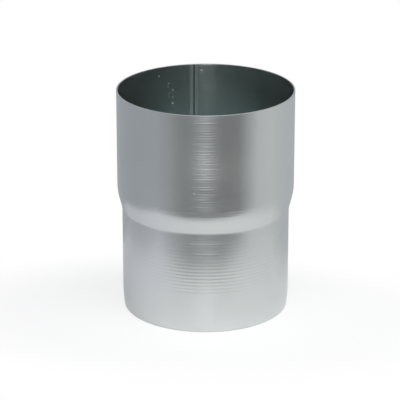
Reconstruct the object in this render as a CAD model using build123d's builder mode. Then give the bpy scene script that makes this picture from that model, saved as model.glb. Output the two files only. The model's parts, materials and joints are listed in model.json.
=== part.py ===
"""Downpipe connector: a sheet-metal sleeve that joins two lengths of round downpipe.

One strip of sheet is rolled, welded along a lengthwise seam and formed into a socket, a sloped shoulder and a
spigot. It stands on the end of its spigot, with +Z up through the socket's mouth and the seam at +Y.
"""

import os
from math import degrees, radians, sin, tan

from build123d import *

# Driving dimensions, in millimetres and degrees. Clearances are radial.
pipe_diameter = 80.0
pipe_wall = 0.65
sheet_thickness = 0.65
socket_clearance = 0.55
spigot_clearance = 0.35
socket_depth = 45.0
spigot_length = 48.5
shoulder_slope = 15.5
shoulder_bend_radius = 27.0
end_taper_length = 5.5
end_taper_depth = 0.6
ring_pitch = 1.65
ring_width = 1.7
ring_depth = 0.04
ring_gap_to_shoulder = 5.3
ring_gap_to_taper = 14.0
seam_direction = 90.0
seam_strip_width = 3.8
seam_strip_height = 0.08
seam_groove_width = 0.55
seam_groove_depth = 0.13

# The socket goes round a pipe, and the spigot goes into one
socket_radius = pipe_diameter / 2 + socket_clearance + sheet_thickness
spigot_radius = pipe_diameter / 2 - pipe_wall - spigot_clearance

# The shoulder's wall leans out from the spigot's corner and bends softly into the socket
shoulder_step = socket_radius - spigot_radius
shoulder_rise = shoulder_step / tan(radians(shoulder_slope))
slant_length = shoulder_step / sin(radians(shoulder_slope))
half_turn = tan(radians(shoulder_slope / 2))
most_bend_on_slant = 0.9
bend_radius = min(shoulder_bend_radius, most_bend_on_slant * slant_length / half_turn)
shoulder_top = spigot_length + shoulder_rise
total_height = shoulder_top + bend_radius * half_turn + socket_depth

# The spigot's end tapers in, and the sheet's taper runs on past the level cut by its own thickness
taper_run_on = sheet_thickness
cut_radius = spigot_radius - end_taper_depth * (1 + taper_run_on / end_taper_length)

# Rolled rings are shallow grooves, one beside the next, along the straight part of the spigot.
# A groove's flanks meet the wall's outside ring_width apart and run on as far again beyond it.
ring_top = spigot_length - ring_gap_to_shoulder
ring_zone = ring_top - end_taper_length - ring_gap_to_taper
ring_count = int(ring_zone / ring_pitch) + 1
ring_notch = [(-ring_depth, 0), (ring_depth, -ring_width), (ring_depth, ring_width)]

# The seam's raised strip and the groove along its middle, as depths below the outside of the wall
# and as angles round the inside of the spigot
strip_face = sheet_thickness + seam_strip_height
groove_floor = sheet_thickness - seam_groove_depth
seam_radius = spigot_radius - sheet_thickness
strip_angle = degrees(seam_strip_width / seam_radius)
groove_angle = degrees(seam_groove_width / seam_radius)


def wall_layer(outer_depth, inner_depth):
    """The section of the wall between two depths below its outside, cut level at both ends."""
    inward = {"kind": Kind.INTERSECTION, "side": Side.RIGHT}
    with BuildSketch() as layer:
        with BuildLine():
            FilletPolyline(
                (socket_radius, total_height),
                (socket_radius, shoulder_top),
                (spigot_radius, spigot_length),
                (spigot_radius, end_taper_length),
                (cut_radius, -taper_run_on),
                radius=[bend_radius, 0, 0],
            )
            if outer_depth > 0:
                offset(amount=outer_depth, closed=False, mode=Mode.REPLACE, **inward)
            offset(amount=inner_depth - outer_depth, closed=True, **inward)
        make_face()
        with Locations((0, total_height / 2)):
            Rectangle(2 * pipe_diameter, total_height, mode=Mode.INTERSECT)
    return layer.sketch


def seam_plane(angle):
    """The upright plane through the axis, turned from the seam by an angle."""
    return Plane.XZ.rotated((0, 0, seam_direction + angle))


with BuildPart() as connector_body:
    # The seam's raised strip, which starts within the sheet
    with BuildSketch(seam_plane(-strip_angle / 2)):
        add(wall_layer(sheet_thickness / 2, strip_face))
    revolve(axis=Axis.Z, revolution_arc=strip_angle)
    # The formed sheet, with the rings rolled into its spigot
    with BuildSketch(seam_plane(0)):
        add(wall_layer(0, sheet_thickness))
        for i in range(ring_count):
            with Locations((spigot_radius, ring_top - i * ring_pitch)):
                Polygon(*ring_notch, align=None, mode=Mode.SUBTRACT)
    revolve(axis=Axis.Z)
    # The groove along the seam, cut through the strip's face
    with BuildSketch(seam_plane(-groove_angle / 2)):
        add(wall_layer(groove_floor, strip_face + seam_strip_height))
    revolve(axis=Axis.Z, revolution_arc=groove_angle, mode=Mode.SUBTRACT)

connector_body.part.label = "connector_body"

os.makedirs("parts", exist_ok=True)
export_step(connector_body.part, "parts/connector_body.step")
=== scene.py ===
import json
import math

import bpy
import numpy as np
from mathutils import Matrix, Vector


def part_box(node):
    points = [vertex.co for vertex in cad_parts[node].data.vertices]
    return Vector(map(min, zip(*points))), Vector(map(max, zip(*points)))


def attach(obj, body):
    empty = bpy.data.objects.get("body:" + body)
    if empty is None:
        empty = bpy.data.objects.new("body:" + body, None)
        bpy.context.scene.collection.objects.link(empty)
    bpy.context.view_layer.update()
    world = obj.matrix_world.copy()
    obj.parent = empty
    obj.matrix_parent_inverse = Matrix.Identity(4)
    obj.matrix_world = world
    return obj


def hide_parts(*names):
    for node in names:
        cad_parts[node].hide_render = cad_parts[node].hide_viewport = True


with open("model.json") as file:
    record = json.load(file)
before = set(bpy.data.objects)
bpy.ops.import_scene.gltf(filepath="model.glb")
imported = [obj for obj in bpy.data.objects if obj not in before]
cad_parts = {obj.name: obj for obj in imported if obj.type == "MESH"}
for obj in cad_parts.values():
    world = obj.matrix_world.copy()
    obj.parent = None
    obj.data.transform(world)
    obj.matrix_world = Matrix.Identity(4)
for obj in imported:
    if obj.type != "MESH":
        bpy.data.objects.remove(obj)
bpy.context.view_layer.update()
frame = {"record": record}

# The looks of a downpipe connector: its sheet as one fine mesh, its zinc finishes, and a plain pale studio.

# Lengths on the object are in millimetres up to the mesh, and everything else is in metres
MM = 0.001

# The form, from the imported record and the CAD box
mounts = {mount["name"]: mount for mount in frame["record"]["mounts"]}
socket = mounts["socket_bore"]
spigot = mounts["spigot_outside"]
box_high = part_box("connector_body")[1]
height = box_high.z / MM
socket_radius = max(box_high.x, box_high.y) / MM
bore_radius = socket["dims"]["r_mm"]
sheet = socket_radius - bore_radius
bend_top = height - socket["dims"]["length_mm"]
spigot_radius = spigot["dims"]["r_mm"]
corner_height = spigot["pos_m"][2] / MM
shoulder_slope = math.radians(15.5)
corner_softness = 0.1
taper_top = 7.0
taper_depth = 0.6
taper_power = 1.3
rim_edge_radius = 0.08
end_edge_radius = 0.25

# The side of the tube, as an angle round it, where the rolls left their clearest marks
front_angle = math.radians(-97.7)

# Rings rolled into the spigot, which begin and end between counts of rings from the topmost
ring_pitch = 1.65
ring_count = 15
ring_gap_to_shoulder = 5.3
ring_top = corner_height - ring_gap_to_shoulder
ring_bottom = ring_top - ring_count * ring_pitch
rings_begin = (-0.6, -0.3)
rings_end = (ring_count - 0.7, ring_count - 0.4)

# Shares of the rings' depth by height. The rings are weaker at the sides, and the topmost are clear only at
# the front. The pairs are angles away from it.
ring_depth = 0.0185
ring_shares = {20.0: 1.3, 27.0: 1.2, 32.0: 0.52, 38.0: 0.16, 43.0: 0.2}
ring_loss_at_sides = 0.5
ring_loss_begins = (0.25, 0.65)
ring_loss_ends = (1.6, 2.2)
front_ring_shares = {36.0: 0.0, 39.5: 0.2, 41.5: 0.4, 43.2: 1.8}
front_rings_end = (0.1, 0.25)

# Fine waviness of the sheet, in rows up the tube with knots round it. Each row has a chance share of its own,
# and breaks off where a run of chance values is low.
ripple_start = 30.0
ripple_pitch = 0.6
ripple_knots = 110
ripple_row_shares = (0.1, 1.1)
ripple_unevenness = 0.35
ripple_run = 3
ripple_break_level = -0.6
broken_ripple_share = 0.15
rng = np.random.default_rng(32)

# Shares of the waviness's depth by height on the socket, and its share at the top of the spigot. It begins
# and ends between heights, and fades at the sides between angles away from the front.
ripple_depth = 0.015
ripple_shares = {bend_top: 2.3, 70.0: 2.0, 77.0: 1.0, 88.0: 1.1, 100.0: 1.4}
ripples_begin = (bend_top - 5, bend_top)
ripple_loss_at_sides = 0.7
ripple_loss_begins = (0.16, 0.5)
spigot_ripple_share = 1.3
spigot_ripples_begin = (ring_top - 7, ring_top - 3)
spigot_ripples_end = (ring_top + 1, ring_top + 3)
front_ripples_end = (0.08, 0.24)

# The weld seam along the inside, at +Y. Its form and its tone turn between distances from its middle.
seam_angle = math.radians(90.0)
strip_half_width = 1.9
strip_height = 0.05
strip_edge = (strip_half_width - 0.7, strip_half_width + 0.2)
strip_tone_edge = (strip_half_width - 0.3, strip_half_width + 0.2)
groove_half_width = 0.25
groove_depth = 0.13
groove_edge = (groove_half_width * 0.35, groove_half_width * 1.3)
groove_tone_edge = (groove_half_width, groove_half_width * 1.6)

# The mesh's columns: distances from the seam's middle, and how many there are at the front and on each side
seam_columns = [0, 0.1, 0.19, 0.27, 0.35, 0.44, 0.7, 1.2, 1.5, 1.65, 1.8, 1.95, 2.1]
first_side_column = 2.625
side_columns = 35
front_columns = 60
front_half_angle = 0.6

# Pale flecks on the sheet, as (degrees from the seam, height, size, how far they cover the metal)
fleck_colour = (0.80, 0.82, 0.82)
flecks_outside = [(165, 68.5, 0.45, 0.4)]
flecks_inside = [
    (-5, 102, 0.6, 0.4),
    (25.5, 101, 0.45, 0.35),
    (18, 96.5, 0.45, 0.35),
    (18.5, 95, 0.4, 0.35),
    (15, 93, 0.45, 0.35),
    (17.5, 91.5, 0.4, 0.35),
    (17.5, 90, 0.4, 0.3),
    (15, 89.5, 0.4, 0.3),
    (15, 86.5, 0.5, 0.45),
]

# Brushed lines round the tube and soft patches, per metre, and the roughness that they and the rolls add
brush_scale = (130, 130, 3400)
patch_scale = 55.0
tone_roughness = 0.08
worked_roughness = 0.03

# Tones by shares of the height: where the rolls worked the sheet most, and painted shade on the inside
worked_by_height = [
    (0.25, 0.0), (0.34, 0.1), (0.42, 0.75), (0.54, 0.0), (0.66, 0.0), (0.76, 1.0), (0.80, 1.0), (0.95, 0.0),
]
# Painted shade: the inside's colour is darkened, mostly more so upwards towards the rim
painted_shade_upwards = [(0.70, 0.95), (0.77, 0.88), (0.87, 0.75), (0.94, 0.75), (1.0, 0.80)]

# Finishes of the sheet, in the order of the mesh's materials. A weld has tones for its strip and its line.
finishes = [
    dict(
        name="zinc_outside",
        dark=(0.605, 0.62, 0.623),
        light=(0.685, 0.70, 0.70),
        metal=1.0,
        roughness=0.17,
        brushing=0.55,
        line_height=0.004,
        line_share=0.4,
        weld=(1.04, 0.86),
        flecks=flecks_outside,
        fleck_radius=socket_radius,
        painted_shade=None,
    ),
    dict(
        name="zinc_inside",
        dark=(0.56, 0.625, 0.62),
        light=(0.60, 0.67, 0.665),
        metal=0.985,
        roughness=0.16,
        brushing=0.3,
        line_height=0.0001,
        line_share=0.1,
        weld=(1.35, 0.65),
        flecks=flecks_inside,
        fleck_radius=bore_radius,
        # The inside's painted shade, darker upwards
        painted_shade=painted_shade_upwards,
    ),
    dict(
        name="zinc_cut_edge",
        dark=(0.27, 0.285, 0.29),
        light=(0.34, 0.36, 0.365),
        metal=1.0,
        roughness=0.43,
        brushing=0.0,
        line_height=0.004,
        line_share=0.4,
        weld=(1.04, 0.86),
        flecks=None,
        fleck_radius=None,
        painted_shade=None,
    ),
]

# The camera
camera_azimuth = math.radians(-7.7)
camera_elevation = math.radians(20.0)
camera_distance = 1.0
camera_focal_share = 5.3375
aim_height = 0.0507
aim_left = 0.00262

# The floor, an oval turned a little from the camera
floor_half_width = 0.190
floor_half_depth = 0.1055
floor_forward = 0.0175
floor_turn = math.radians(-5.0)

# How much of the floor is plain white: near the object, where its shadow has to show, and in reflections
white = (1.0, 1.0, 1.0)
floor_white_near = 0.75
floor_white_in_metal = 0.1

# Places on the floor, as shares of its half width and half depth: where its white grows, where it fades out,
# and its tints from left to right
floor_white_grows = (0.4, 0.8)
oval_fade = (0.85, 1.0)
right_fade = (0.35, 1.0)
left_fade = (-0.55, -0.80)
corner_fade = (0.55, 1.3)
floor_tints = [(-0.44, (0.89, 0.895, 0.945)), (-0.08, (0.885, 0.905, 0.898))]

# The studio, by degrees from the camera's azimuth: the grey room below, the soft light above, and the rise
# between them
room_below = [
    (-180, (0.44, 0.46, 0.48)),
    (-145, (0.435, 0.46, 0.492)),
    (-100, (0.425, 0.45, 0.485)),
    (-66, (0.425, 0.45, 0.485)),
    (-48, (0.37, 0.385, 0.395)),
    (-30, (0.265, 0.275, 0.275)),
    (0, (0.205, 0.213, 0.21)),
    (22, (0.218, 0.226, 0.223)),
    (43, (0.245, 0.253, 0.25)),
    (70, (0.62, 0.635, 0.635)),
    (92, (0.655, 0.68, 0.685)),
    (130, (0.58, 0.61, 0.625)),
    (180, (0.44, 0.46, 0.48)),
]
light_above = [(-180, 0.15), (-110, 0.10), (-50, 0.10), (0, 0.12), (50, 0.15), (110, 0.17), (180, 0.15)]
rise_to_above = (0.0, 0.22)

# Lamps as (name, degrees from the camera's azimuth, elevation, distance, width, height, watts)
lamps = [
    ("front", -0.5, 17, 1.3, 0.22, 0.23, 11.0),
    ("right", 50, 48, 0.6, 0.35, 0.35, 1.0),
    ("top", 5, 80, 0.8, 0.4, 0.4, 2.3),
]


def smooth_step(low, high, x):
    """0 below low, 1 above high and a smooth turn between them."""
    t = np.clip((x - low) / (high - low), 0.0, 1.0)
    return t * t * (3 - 2 * t)


def by_stops(x, stops):
    """Values at x on straight lines through stops of position and value."""
    return np.interp(x, list(stops), list(stops.values()))


def plain_radius(z):
    """The outside radius of the formed sheet at a height, without rings and ripples."""
    slope = math.tan(shoulder_slope)
    shoulder_top = corner_height + (socket_radius - spigot_radius) / slope
    bend_radius = (bend_top - shoulder_top) / math.tan(shoulder_slope / 2)
    bend_end = bend_top - bend_radius * math.sin(shoulder_slope)
    rise = (z - corner_height) * slope
    cone = spigot_radius + corner_softness * np.logaddexp(0, rise / corner_softness)
    below = np.clip(bend_top - z, 0, bend_radius)
    bend = socket_radius - bend_radius + np.sqrt(bend_radius ** 2 - below ** 2)
    taper = taper_depth * np.clip(1 - z / taper_top, 0, None) ** taper_power
    return np.where(z > bend_end, bend, cone) - taper


def turned_away(angle):
    """How far angles round the tube are from its front."""
    return np.abs((angle - front_angle + math.pi) % (2 * math.pi) - math.pi)


def rings(z, angle):
    """How far the rolled rings sink below the spigot's plain outside, over a grid of heights and angles."""
    count = (ring_top - z) / ring_pitch
    wave = 0.5 + 0.5 * np.cos(2 * math.pi * count)
    rolled = smooth_step(*rings_begin, count) * (1 - smooth_step(*rings_end, count))
    away = turned_away(angle)
    sides = smooth_step(*ring_loss_begins, away) * (1 - smooth_step(*ring_loss_ends, away))
    depth = np.outer(by_stops(z, ring_shares), 1 - ring_loss_at_sides * sides)
    depth += np.outer(by_stops(z, front_ring_shares), 1 - smooth_step(*front_rings_end, away))
    return ring_depth * (wave * rolled)[:, None] * depth


def ripple_field(rows):
    """Heights of the waviness at its knots: rows in and out by turns, each broken here and there."""
    chance = rng.normal(size=(rows, ripple_knots))
    runs = sum(np.roll(chance, k, axis=1) for k in range(ripple_run))
    in_and_out = np.where(np.arange(rows) % 2, 1, -1)
    wave = in_and_out * rng.uniform(*ripple_row_shares, rows) + ripple_unevenness * rng.normal(size=rows)
    return wave[:, None] * np.where(runs > ripple_break_level, 1.0, broken_ripple_share)


def ripples(z, angle):
    """How far the waviness stands out from the sheet, over a grid of heights and angles."""
    rows = int((height - ripple_start) / ripple_pitch) + 3
    field = ripple_field(rows)
    row = (z - ripple_start) / ripple_pitch
    knot = (angle / (2 * math.pi) % 1.0) * ripple_knots
    i = np.clip(np.floor(row).astype(int), 0, rows - 2)
    j = np.floor(knot).astype(int) % ripple_knots
    k = (j + 1) % ripple_knots
    up = smooth_step(0, 1, row - i)[:, None]
    on = smooth_step(0, 1, knot - np.floor(knot))[None, :]
    low = field[np.ix_(i, j)] * (1 - on) + field[np.ix_(i, k)] * on
    high = field[np.ix_(i + 1, j)] * (1 - on) + field[np.ix_(i + 1, k)] * on
    away = turned_away(angle)
    on_socket = smooth_step(*ripples_begin, z) * by_stops(z, ripple_shares)
    on_spigot = smooth_step(*spigot_ripples_begin, z) * (1 - smooth_step(*spigot_ripples_end, z))
    depth = np.outer(on_socket, 1 - ripple_loss_at_sides * smooth_step(*ripple_loss_begins, away))
    depth += np.outer(spigot_ripple_share * on_spigot, 1 - smooth_step(*front_ripples_end, away))
    return ripple_depth * depth * (low * (1 - up) + high * up)


def seam_relief(across):
    """How far the seam stands in from the wall's inside, at distances across it."""
    strip = 1 - smooth_step(*strip_edge, np.abs(across))
    groove = 1 - smooth_step(*groove_edge, np.abs(across))
    return strip_height * strip - (strip_height + groove_depth) * groove


def column_angles():
    """The angles of the mesh's columns, close together at the seam and at the front."""
    half_seam = np.array(seam_columns)
    seam = np.concatenate([-half_seam[:0:-1], half_seam]) / spigot_radius
    side = first_side_column / spigot_radius
    spread = np.linspace(-front_half_angle, front_half_angle, front_columns)
    front = (front_angle - seam_angle) % (2 * math.pi) + spread
    before = np.linspace(side, front[0], side_columns + 1)[:-1]
    after = np.linspace(front[-1], 2 * math.pi - side, side_columns + 1)[1:]
    return seam_angle + np.concatenate([seam, before, front, after])


def outside_heights():
    """The heights of the rows up the outside, closest where the form turns."""
    below_corner = corner_height - 0.5
    above_corner = corner_height + 0.5
    below_ripples = ripples_begin[0] - 1
    rim = height - rim_edge_radius
    # Stretches as (from, to, step), each ending clear of the next one's first row
    least_gap = 0.01
    stretches = [
        (end_edge_radius, taper_top, 0.4),
        (taper_top, ring_bottom, 0.8),
        (ring_bottom, below_corner, ring_pitch / 8),
        (below_corner, above_corner, 0.07),
        (above_corner, below_ripples, 0.4),
        (below_ripples, rim, 0.19),
    ]
    return np.concatenate([np.arange(low, high - least_gap, step) for low, high, step in stretches] + [[rim]])


def inside_line():
    """Radii and heights down the inside of the sheet, a sheet's thickness in from the outside."""
    # Stretches as (from, to, count of rows with both ends)
    stretches = [
        (height, bend_top, 40),
        (bend_top, corner_height, 30),
        (corner_height, taper_top, 24),
        (taper_top, 0, 12),
    ]
    z = np.concatenate([[height]] + [np.linspace(*stretch)[1:] for stretch in stretches])
    r = plain_radius(z)
    lean = np.arctan(np.gradient(r, z))
    inner_z = z + sheet * np.sin(lean)
    inner_r = r - sheet * np.cos(lean)
    order = np.argsort(inner_z)
    levels = np.clip(z, end_edge_radius, height - rim_edge_radius)
    return np.interp(levels, inner_z[order], inner_r[order]), levels


def cut_edge(r_from, r_to, z_edge, up, corner):
    """Radii and heights over a cut edge and its rounded corners, from one side of the sheet to the other."""
    toward_it = 1 if r_to.mean() > r_from.mean() else -1
    turns = np.linspace(0, math.pi / 2, 5)[1:]
    steps = toward_it * corner * (1 - np.cos(turns))
    levels = z_edge - up * corner * (1 - np.sin(turns))
    rows = [r_from + step for step in steps] + [r_to - step for step in steps[::-1]]
    return np.array(rows), np.concatenate([levels, levels[::-1]])


def wall_mesh():
    """The connector's wall as one closed mesh, with its outside, its inside and its cut edges told apart."""
    angle = column_angles()
    z_out = outside_heights()
    r_out = plain_radius(z_out)[:, None] - rings(z_out, angle) + ripples(z_out, angle)
    r_in, z_in = inside_line()
    across = (angle - seam_angle + math.pi) % (2 * math.pi) - math.pi
    r_in = r_in[:, None] - seam_relief(across * spigot_radius)[None, :]
    r_rim, z_rim = cut_edge(r_out[-1], r_in[0], height, 1, rim_edge_radius)
    r_end, z_end = cut_edge(r_in[-1], r_out[0], 0.0, -1, end_edge_radius)
    radius = np.concatenate([r_out, r_rim, r_in, r_end])
    level = np.concatenate([z_out, z_rim, z_in, z_end])
    rows, columns = radius.shape
    points = np.stack([
        radius * np.cos(angle)[None, :],
        radius * np.sin(angle)[None, :],
        np.repeat(level[:, None], columns, axis=1),
    ], axis=2).reshape(-1, 3) * MM
    row, column = np.meshgrid(np.arange(rows), np.arange(columns), indexing="ij")
    next_row = (row + 1) % rows
    next_column = (column + 1) % columns
    faces = np.stack([
        row * columns + column,
        row * columns + next_column,
        next_row * columns + next_column,
        next_row * columns + column,
    ], axis=2).reshape(-1, 4)
    mesh = bpy.data.meshes.new("connector_sheet")
    mesh.from_pydata(points.tolist(), [], faces.tolist())
    mesh.polygons.foreach_set("use_smooth", np.ones(len(faces), bool))
    outside, inside, edge = range(len(finishes))
    inside_start = len(z_out) + len(z_rim)
    finish = np.full(rows, edge, np.int32)
    finish[:len(z_out) - 1] = outside
    finish[inside_start:inside_start + len(z_in) - 1] = inside
    mesh.polygons.foreach_set("material_index", np.repeat(finish, columns))
    mesh.update()
    return mesh


def is_socket(value):
    """Whether an input is another node's output, and not a plain value."""
    return isinstance(value, bpy.types.NodeSocket)


def add_node(tree, kind, inputs=(), **settings):
    """A shader node with its settings, and with inputs that are values or other nodes' outputs."""
    node = tree.nodes.new(kind)
    for name, value in settings.items():
        setattr(node, name, value)
    for key, value in dict(inputs).items():
        if is_socket(value):
            tree.links.new(value, node.inputs[key])
        else:
            node.inputs[key].default_value = value
    return node


def math_node(tree, operation, *values):
    """The output of a Math node."""
    return add_node(tree, "ShaderNodeMath", dict(enumerate(values)), operation=operation).outputs[0]


def largest(tree, first, *others):
    """The largest of several values."""
    for other in others:
        first = math_node(tree, "MAXIMUM", first, other)
    return first


def smooth_map(tree, value, low, high, at_low=0.0, at_high=1.0):
    """A smooth turn from one value at low to another at high."""
    node = add_node(tree, "ShaderNodeMapRange", {
        "Value": value, "From Min": low, "From Max": high, "To Min": at_low, "To Max": at_high,
    }, interpolation_type="SMOOTHSTEP")
    return node.outputs[0]


def ramp(tree, factor, stops):
    """The colour output of a ramp through (position, colour) stops."""
    node = add_node(tree, "ShaderNodeValToRGB", {"Fac": factor})
    elements = node.color_ramp.elements
    while len(elements) < len(stops):
        elements.new(1.0)
    for element, (position, colour) in zip(elements, stops):
        element.position = position
        element.color = (*colour, 1.0)
    return node.outputs["Color"]


def mix_colour(tree, factor, first, second, blend="MIX"):
    """The colour output of a Mix node."""
    first, second = (c if is_socket(c) else (*c, 1.0) for c in (first, second))
    node = add_node(
        tree, "ShaderNodeMix", {0: factor, 6: first, 7: second}, data_type="RGBA", blend_type=blend
    )
    return node.outputs[2]


def axes_of(tree, vector):
    """The X, Y and Z outputs of a vector."""
    return add_node(tree, "ShaderNodeSeparateXYZ", {0: vector}).outputs


def grey(tone):
    """A colour without hue."""
    return tone, tone, tone


def by_height(tree, place, stops):
    """A tone by height, through (share of the height, tone) stops."""
    share = math_node(tree, "DIVIDE", axes_of(tree, place)["Z"], height * MM)
    return ramp(tree, share, [(at, grey(tone)) for at, tone in stops])


def seam_tone(tree, place, colour, strip_tone, line_tone):
    """A sheet's colour with the weld's strip, and the line along its middle, at +Y."""
    axes = axes_of(tree, place)
    across = math_node(tree, "DIVIDE", math_node(tree, "ABSOLUTE", axes["X"]), MM)
    strip = smooth_map(tree, across, *strip_tone_edge, 1.0, 0.0)
    strip = math_node(tree, "MULTIPLY", strip, math_node(tree, "GREATER_THAN", axes["Y"], 0.0))
    tone = smooth_map(tree, across, *groove_tone_edge, line_tone, strip_tone)
    change = math_node(tree, "SUBTRACT", tone, 1.0)
    level = math_node(tree, "MULTIPLY_ADD", strip, change, 1.0)
    levels = add_node(tree, "ShaderNodeCombineXYZ", {0: level, 1: level, 2: level}).outputs[0]
    return mix_colour(tree, 1.0, colour, levels, "MULTIPLY")


def fleck_cover(tree, place, flecks, wall_radius):
    """How far small pale flecks cover a wall of the sheet."""
    covers = []
    for degrees, level, size, share in flecks:
        angle = seam_angle + math.radians(degrees)
        centre = Vector((wall_radius * math.cos(angle), wall_radius * math.sin(angle), level)) * MM
        gap = add_node(tree, "ShaderNodeVectorMath", {0: place, 1: centre}, operation="DISTANCE")
        covers.append(smooth_map(tree, gap.outputs["Value"], size / 2 * MM, size * MM, share, 0.0))
    return largest(tree, *covers)


def sheet_material(
    name, dark, light, metal, roughness, brushing, line_height, line_share, weld, flecks, fleck_radius, painted_shade
):
    """Satin zinc-coated sheet between a dark and a light tone, brushed round the tube."""
    material = bpy.data.materials.new(name)
    material.use_nodes = True
    tree = material.node_tree
    shader = tree.nodes["Principled BSDF"]
    place = add_node(tree, "ShaderNodeTexCoord").outputs["Object"]
    brushed = add_node(tree, "ShaderNodeMapping", {"Vector": place, "Scale": brush_scale}).outputs[0]
    lines = add_node(tree, "ShaderNodeTexNoise", {"Vector": brushed, "Scale": 1.0, "Detail": 3.0})
    cloud = add_node(tree, "ShaderNodeTexNoise", {"Vector": place, "Scale": patch_scale, "Detail": 4.0})
    patches = math_node(tree, "MULTIPLY", cloud.outputs["Fac"], 1 - line_share)
    tone = math_node(tree, "MULTIPLY_ADD", lines.outputs["Fac"], line_share, patches)

    colour = mix_colour(tree, tone, dark, light)
    # Painted shade: the colour darkened by height, for a finish that has it
    if painted_shade:
        colour = mix_colour(tree, 1.0, colour, by_height(tree, place, painted_shade), "MULTIPLY")
    colour = seam_tone(tree, place, colour, *weld)
    shader.inputs["Metallic"].default_value = metal
    if flecks:
        cover = fleck_cover(tree, place, flecks, fleck_radius)
        colour = mix_colour(tree, cover, colour, fleck_colour)
        tree.links.new(math_node(tree, "MULTIPLY_ADD", cover, -metal, metal), shader.inputs["Metallic"])
    tree.links.new(colour, shader.inputs["Base Color"])

    rough = math_node(tree, "MULTIPLY_ADD", tone, tone_roughness, roughness)
    worked = by_height(tree, place, worked_by_height)
    rough = math_node(tree, "MULTIPLY_ADD", worked, worked_roughness, rough)
    tree.links.new(rough, shader.inputs["Roughness"])
    shader.inputs["Anisotropic"].default_value = brushing
    shader.inputs["Anisotropic Rotation"].default_value = 0.25
    tangent = add_node(tree, "ShaderNodeTangent", direction_type="RADIAL", axis="Z")
    tree.links.new(tangent.outputs[0], shader.inputs["Tangent"])
    relief = {"Strength": 1.0, "Distance": line_height * MM, "Height": lines.outputs["Fac"]}
    bump = add_node(tree, "ShaderNodeBump", relief)
    tree.links.new(bump.outputs[0], shader.inputs["Normal"])
    return material


def floor_material():
    """A pale matt floor that keeps the object's shadow, is white far from it and fades out at its edges."""
    material = bpy.data.materials.new("pale_floor")
    material.use_nodes = True
    tree = material.node_tree
    tree.nodes.clear()
    path = add_node(tree, "ShaderNodeLightPath").outputs
    place = add_node(tree, "ShaderNodeTexCoord").outputs["Object"]
    away = add_node(tree, "ShaderNodeVectorMath", {0: place}, operation="LENGTH").outputs["Value"]
    across = axes_of(tree, place)["X"]

    seen = largest(tree, path["Is Camera Ray"], path["Is Transmission Ray"])
    seen = math_node(tree, "MULTIPLY_ADD", path["Is Glossy Ray"], floor_white_in_metal, seen)
    far_off = smooth_map(tree, away, *floor_white_grows, floor_white_near, 1.0)
    share = math_node(tree, "MULTIPLY", seen, far_off)
    from_left = math_node(tree, "MULTIPLY_ADD", across, 0.5, 0.5)
    tint = ramp(tree, from_left, [(0.5 + 0.5 * at, colour) for at, colour in floor_tints])
    matt = add_node(tree, "ShaderNodeBsdfDiffuse", {"Color": tint})
    bare = add_node(tree, "ShaderNodeEmission", {"Color": (*white, 1.0), "Strength": 1.0})
    lit = add_node(tree, "ShaderNodeMixShader", {0: share, 1: matt.outputs[0], 2: bare.outputs[0]})

    oval = smooth_map(tree, away, *oval_fade)
    right = smooth_map(tree, across, *right_fade)
    left = smooth_map(tree, across, *left_fade)
    slant = add_node(tree, "ShaderNodeVectorMath", {0: place, 1: (1.0, 1.0, 0.0)}, operation="DOT_PRODUCT")
    corner = smooth_map(tree, slant.outputs["Value"], *corner_fade)
    edge = largest(tree, oval, right, left, corner)
    gone = add_node(tree, "ShaderNodeBsdfTransparent")
    faded = add_node(tree, "ShaderNodeMixShader", {0: edge, 1: lit.outputs[0], 2: gone.outputs[0]})
    add_node(tree, "ShaderNodeOutputMaterial", {"Surface": faded.outputs[0]})
    return material


def studio_world():
    """Soft light from a pale studio above and a grey room below the floor's edge, by direction."""
    world = bpy.data.worlds.new("studio")
    bpy.context.scene.world = world
    world.use_nodes = True
    tree = world.node_tree
    tree.nodes.clear()
    direction = add_node(tree, "ShaderNodeTexCoord").outputs["Generated"]
    turned = add_node(tree, "ShaderNodeMapping", {"Vector": direction, "Rotation": (0, 0, -camera_azimuth)})
    axes = axes_of(tree, turned.outputs[0])
    front = math_node(tree, "MULTIPLY", axes["Y"], -1.0)
    bearing = math_node(tree, "ARCTAN2", axes["X"], front)
    around = math_node(tree, "MULTIPLY_ADD", bearing, 0.5 / math.pi, 0.5)
    below = ramp(tree, around, [(0.5 + degrees / 360, colour) for degrees, colour in room_below])
    above = ramp(tree, around, [(0.5 + degrees / 360, grey(tone)) for degrees, tone in light_above])
    rise = smooth_map(tree, axes["Z"], *rise_to_above)
    studio = mix_colour(tree, rise, below, above)
    path = add_node(tree, "ShaderNodeLightPath").outputs
    mirrored = math_node(tree, "MULTIPLY", path["Is Glossy Ray"], rise)
    seen = largest(tree, path["Is Camera Ray"], path["Is Transmission Ray"], mirrored)
    colour = mix_colour(tree, seen, studio, white)
    background = add_node(tree, "ShaderNodeBackground", {"Color": colour, "Strength": 1.0})
    add_node(tree, "ShaderNodeOutputWorld", {"Surface": background.outputs[0]})


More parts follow.
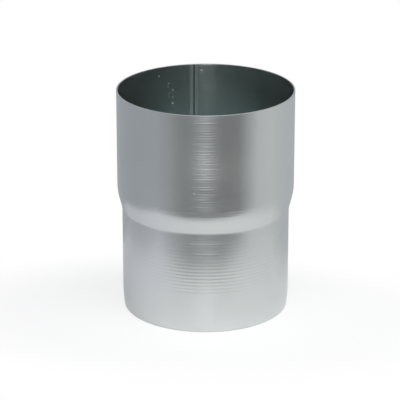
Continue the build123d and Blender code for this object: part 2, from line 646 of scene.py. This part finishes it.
def toward(azimuth, elevation, distance, centre):
    """The point at a distance from a centre, by angles from the camera's azimuth and from level."""
    a = camera_azimuth + azimuth
    level = math.cos(elevation)
    way = Vector((math.sin(a) * level, -math.cos(a) * level, math.sin(elevation)))
    return Vector(centre) + way * distance


def look_at(piece, target):
    """Turns a lamp or a camera towards a point."""
    piece.rotation_mode = "QUATERNION"
    piece.rotation_quaternion = (target - piece.location).to_track_quat("-Z", "Y")


def add_lamp(name, azimuth, elevation, distance, width, length, watts):
    """A soft rectangular lamp that faces the object, and that the camera doesn't see."""
    data = bpy.data.lights.new(name, "AREA")
    data.shape = "RECTANGLE"
    data.size = width
    data.size_y = length
    data.energy = watts
    lamp = bpy.data.objects.new(name, data)
    bpy.context.scene.collection.objects.link(lamp)
    middle = Vector((0, 0, aim_height))
    lamp.location = toward(math.radians(azimuth), math.radians(elevation), distance, middle)
    look_at(lamp, middle)
    lamp.visible_camera = False


def add_floor():
    """An oval pale floor under the object."""
    bpy.ops.mesh.primitive_circle_add(vertices=128, radius=1.0, fill_type="NGON")
    floor = bpy.context.object
    floor.name = "floor"
    floor.scale = (floor_half_width, floor_half_depth, 1)
    floor.rotation_euler.z = camera_azimuth + floor_turn
    floor.location = toward(0, 0, floor_forward, (0, 0, 0))
    floor.data.materials.append(floor_material())


def add_camera():
    """The camera at the photograph's viewing angle."""
    data = bpy.data.cameras.new("camera")
    data.lens = camera_focal_share * data.sensor_width
    camera = bpy.data.objects.new("camera", data)
    bpy.context.scene.collection.objects.link(camera)
    right = Vector((math.cos(camera_azimuth), math.sin(camera_azimuth), 0))
    aim = Vector((0, 0, aim_height)) - right * aim_left
    camera.location = toward(0, camera_elevation, camera_distance, aim)
    look_at(camera, aim)
    bpy.context.scene.camera = camera


body = bpy.data.objects.new("connector_sheet", wall_mesh())
bpy.context.scene.collection.objects.link(body)
for finish in finishes:
    body.data.materials.append(sheet_material(**finish))
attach(body, "root")
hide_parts("connector_body")

add_floor()
add_camera()
studio_world()
for lamp in lamps:
    add_lamp(*lamp)
bpy.context.scene.view_settings.view_transform = "Standard"
